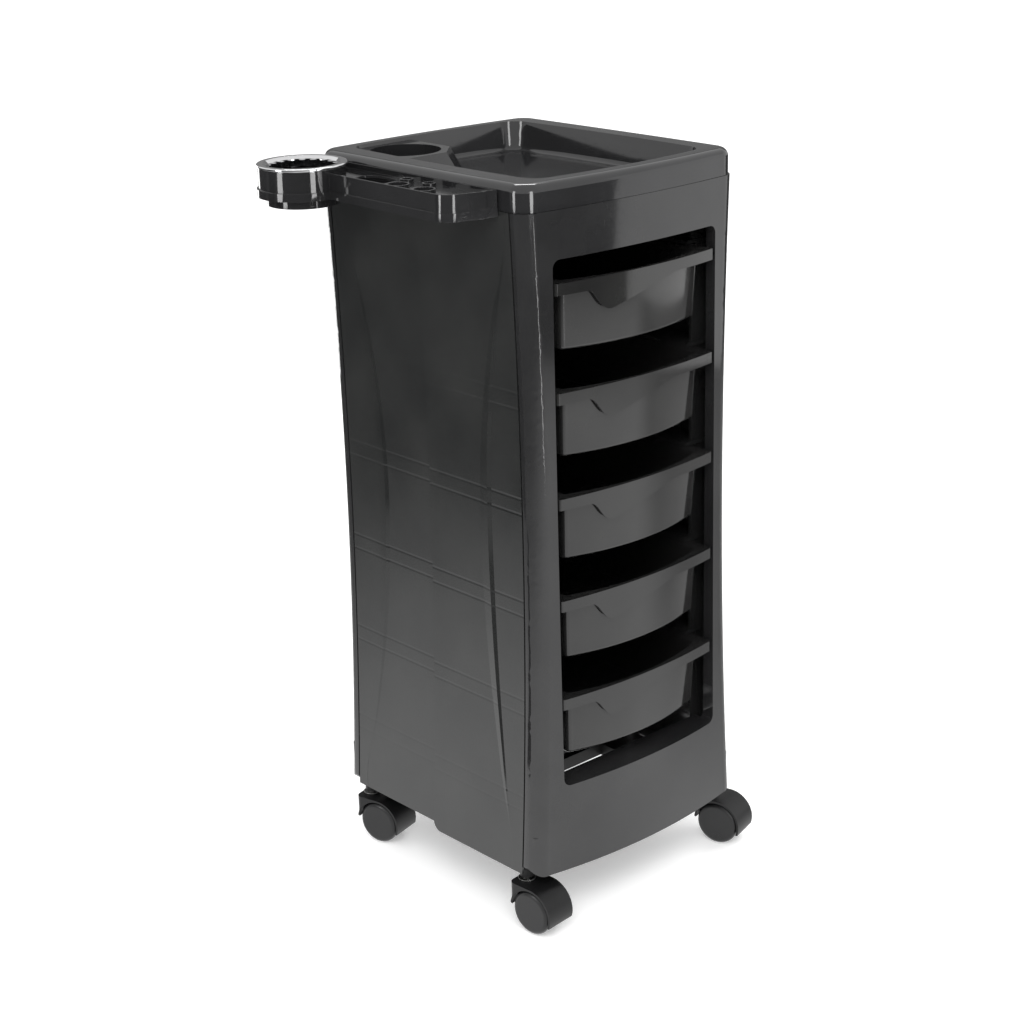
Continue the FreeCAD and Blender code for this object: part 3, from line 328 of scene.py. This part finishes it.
def make_floor_pool():
    """What glossy surfaces see below them: a pool of light that fades outwards."""
    pool = plane("floor_pool", FLOOR_HALF, FLOOR_HALF)
    pool.location.z = -0.001
    material = bpy.data.materials.new("floor_pool")
    material.use_nodes = True
    tree = material.node_tree
    tree.nodes.clear()
    coords = tree.nodes.new("ShaderNodeTexCoord")
    distance = tree.nodes.new("ShaderNodeVectorMath")
    distance.operation = "DISTANCE"
    distance.inputs[1].default_value = (*POOL_CENTRE, 0.0)
    tree.links.new(coords.outputs["Object"], distance.inputs[0])
    fade = tree.nodes.new("ShaderNodeMapRange")
    fade.interpolation_type = "SMOOTHSTEP"
    fade.inputs["From Min"].default_value = POOL_NEAR
    fade.inputs["From Max"].default_value = POOL_FAR
    fade.inputs["To Min"].default_value = POOL_BRIGHT
    fade.inputs["To Max"].default_value = POOL_DIM
    tree.links.new(distance.outputs["Value"], fade.inputs["Value"])
    across = tree.nodes.new("ShaderNodeVectorMath")
    across.operation = "DOT_PRODUCT"
    across.inputs[1].default_value = POOL_SHADE_ACROSS
    tree.links.new(coords.outputs["Object"], across.inputs[0])
    shade = tree.nodes.new("ShaderNodeMapRange")
    shade.interpolation_type = "SMOOTHSTEP"
    shade.inputs["From Min"].default_value = POOL_SHADE_FROM
    shade.inputs["From Max"].default_value = POOL_SHADE_TO
    shade.inputs["To Min"].default_value = 1.0
    shade.inputs["To Max"].default_value = POOL_SHADE
    tree.links.new(across.outputs["Value"], shade.inputs["Value"])
    strength = combine(tree.nodes, tree.links, "MULTIPLY",
                       fade.outputs["Result"], shade.outputs["Result"])
    glow = tree.nodes.new("ShaderNodeEmission")
    tree.links.new(strength, glow.inputs["Strength"])
    out = tree.nodes.new("ShaderNodeOutputMaterial")
    tree.links.new(glow.outputs["Emission"], out.inputs["Surface"])
    pool.data.materials.append(material)
    only_in_reflections(pool)


def card(name, centre, half_w, half_h, strength):
    """An upright glowing card that faces the trolley and shows only in reflections."""
    obj = plane(name, half_w, half_h)
    toward = Vector((0.0, 0.0, min(centre[2], 1.0))) - Vector(centre)
    obj.matrix_world = (Matrix.Translation(Vector(centre))
                        @ toward.to_track_quat("Z", "Y").to_matrix().to_4x4())
    obj.data.materials.append(flat_emission(name, strength))
    only_in_reflections(obj)
    return obj


def floor_card(name, centre, half_long, half_wide, turn, strength):
    """A card that lies on the floor, turned about Z, and shows only in reflections."""
    obj = plane(name, half_long, half_wide)
    obj.location = (*centre, 0.001)
    obj.rotation_euler.z = math.radians(turn)
    obj.data.materials.append(flat_emission(name, strength))
    only_in_reflections(obj)
    return obj


def softbox(name, place, aim, size, watts):
    light = bpy.data.lights.new(name, "AREA")
    light.shape = "RECTANGLE"
    light.size, light.size_y = size
    light.energy = watts
    obj = bpy.data.objects.new(name, light)
    bpy.context.scene.collection.objects.link(obj)
    obj.location = place
    obj.rotation_euler = (Vector(aim) - Vector(place)).to_track_quat("-Z", "Y").to_euler()
    obj.visible_camera = False
    obj.visible_glossy = False
    return obj


def make_light():
    make_floor()
    make_floor_pool()
    card("strip_left", (-1.95, 0.30, 0.98), 0.22, 0.50, 9.0)
    card("strip_front", (-0.50, -1.85, 0.98), 0.22, 0.50, 9.0)
    card("flag_left", (-1.21, 0.73, 0.45), 0.22, 0.45, 0.02)
    floor_card("flag_floor", (-0.93, 0.23), 0.42, 0.10, 155.0, 0.02)
    floor_card("flag_far", (1.75, -3.10), 1.00, 0.75, 300.0, 0.05)
    card("edge_front", (-0.02, -1.86, 0.22), 0.05, 0.24, 7.0)
    card("edge_rear", (0.15, 2.30, 0.50), 0.30, 0.50, 4.0)
    card("panel_right", (1.66, -1.14, 0.87), 0.67, 0.74, 1.45)
    card("wall_back", (2.30, 2.70, 1.75), 2.60, 0.85, 0.27)
    card("window_back", (2.48, 2.88, 2.12), 0.45, 0.42, 6.0)
    card("lamp_above", (0.9, 1.1, 3.2), 0.90, 0.25, 16.0)
    softbox("key", (-1.6, -1.8, 2.6), (0.0, 0.0, 0.4), (1.6, 1.6), 42.0)
    softbox("fill", (2.0, -1.2, 2.2), (0.0, 0.0, 0.3), (1.4, 1.4), 14.0)
    world = bpy.data.worlds.new("studio")
    world.use_nodes = True
    background = world.node_tree.nodes["Background"]
    background.inputs["Color"].default_value = (1.0, 1.0, 1.0, 1.0)
    background.inputs["Strength"].default_value = WORLD_STRENGTH
    bpy.context.scene.world = world


def make_camera():
    """Camera from azimuth, pitch and roll: azimuth 0 looks along +Y."""
    back = Vector((math.sin(CAMERA_AZIMUTH) * math.cos(CAMERA_PITCH),
                   -math.cos(CAMERA_AZIMUTH) * math.cos(CAMERA_PITCH), math.sin(CAMERA_PITCH)))
    right = Vector((math.cos(CAMERA_AZIMUTH), math.sin(CAMERA_AZIMUTH), 0.0))
    up = back.cross(right)
    cosine, sine = math.cos(CAMERA_ROLL), math.sin(CAMERA_ROLL)
    rolled_right = cosine * right + sine * up
    rolled_up = cosine * up - sine * right
    data = bpy.data.cameras.new("camera")
    data.lens = CAMERA_LENS
    data.sensor_width = SENSOR
    data.clip_start, data.clip_end = 0.05, 200.0
    camera = bpy.data.objects.new("camera", data)
    bpy.context.scene.collection.objects.link(camera)
    turn = Matrix((rolled_right, rolled_up, back)).transposed()
    camera.matrix_world = Matrix.Translation(CAMERA_PLACE) @ turn.to_4x4()
    bpy.context.scene.camera = camera


make_light()
make_camera()
bpy.context.scene.view_settings.view_transform = "Standard"
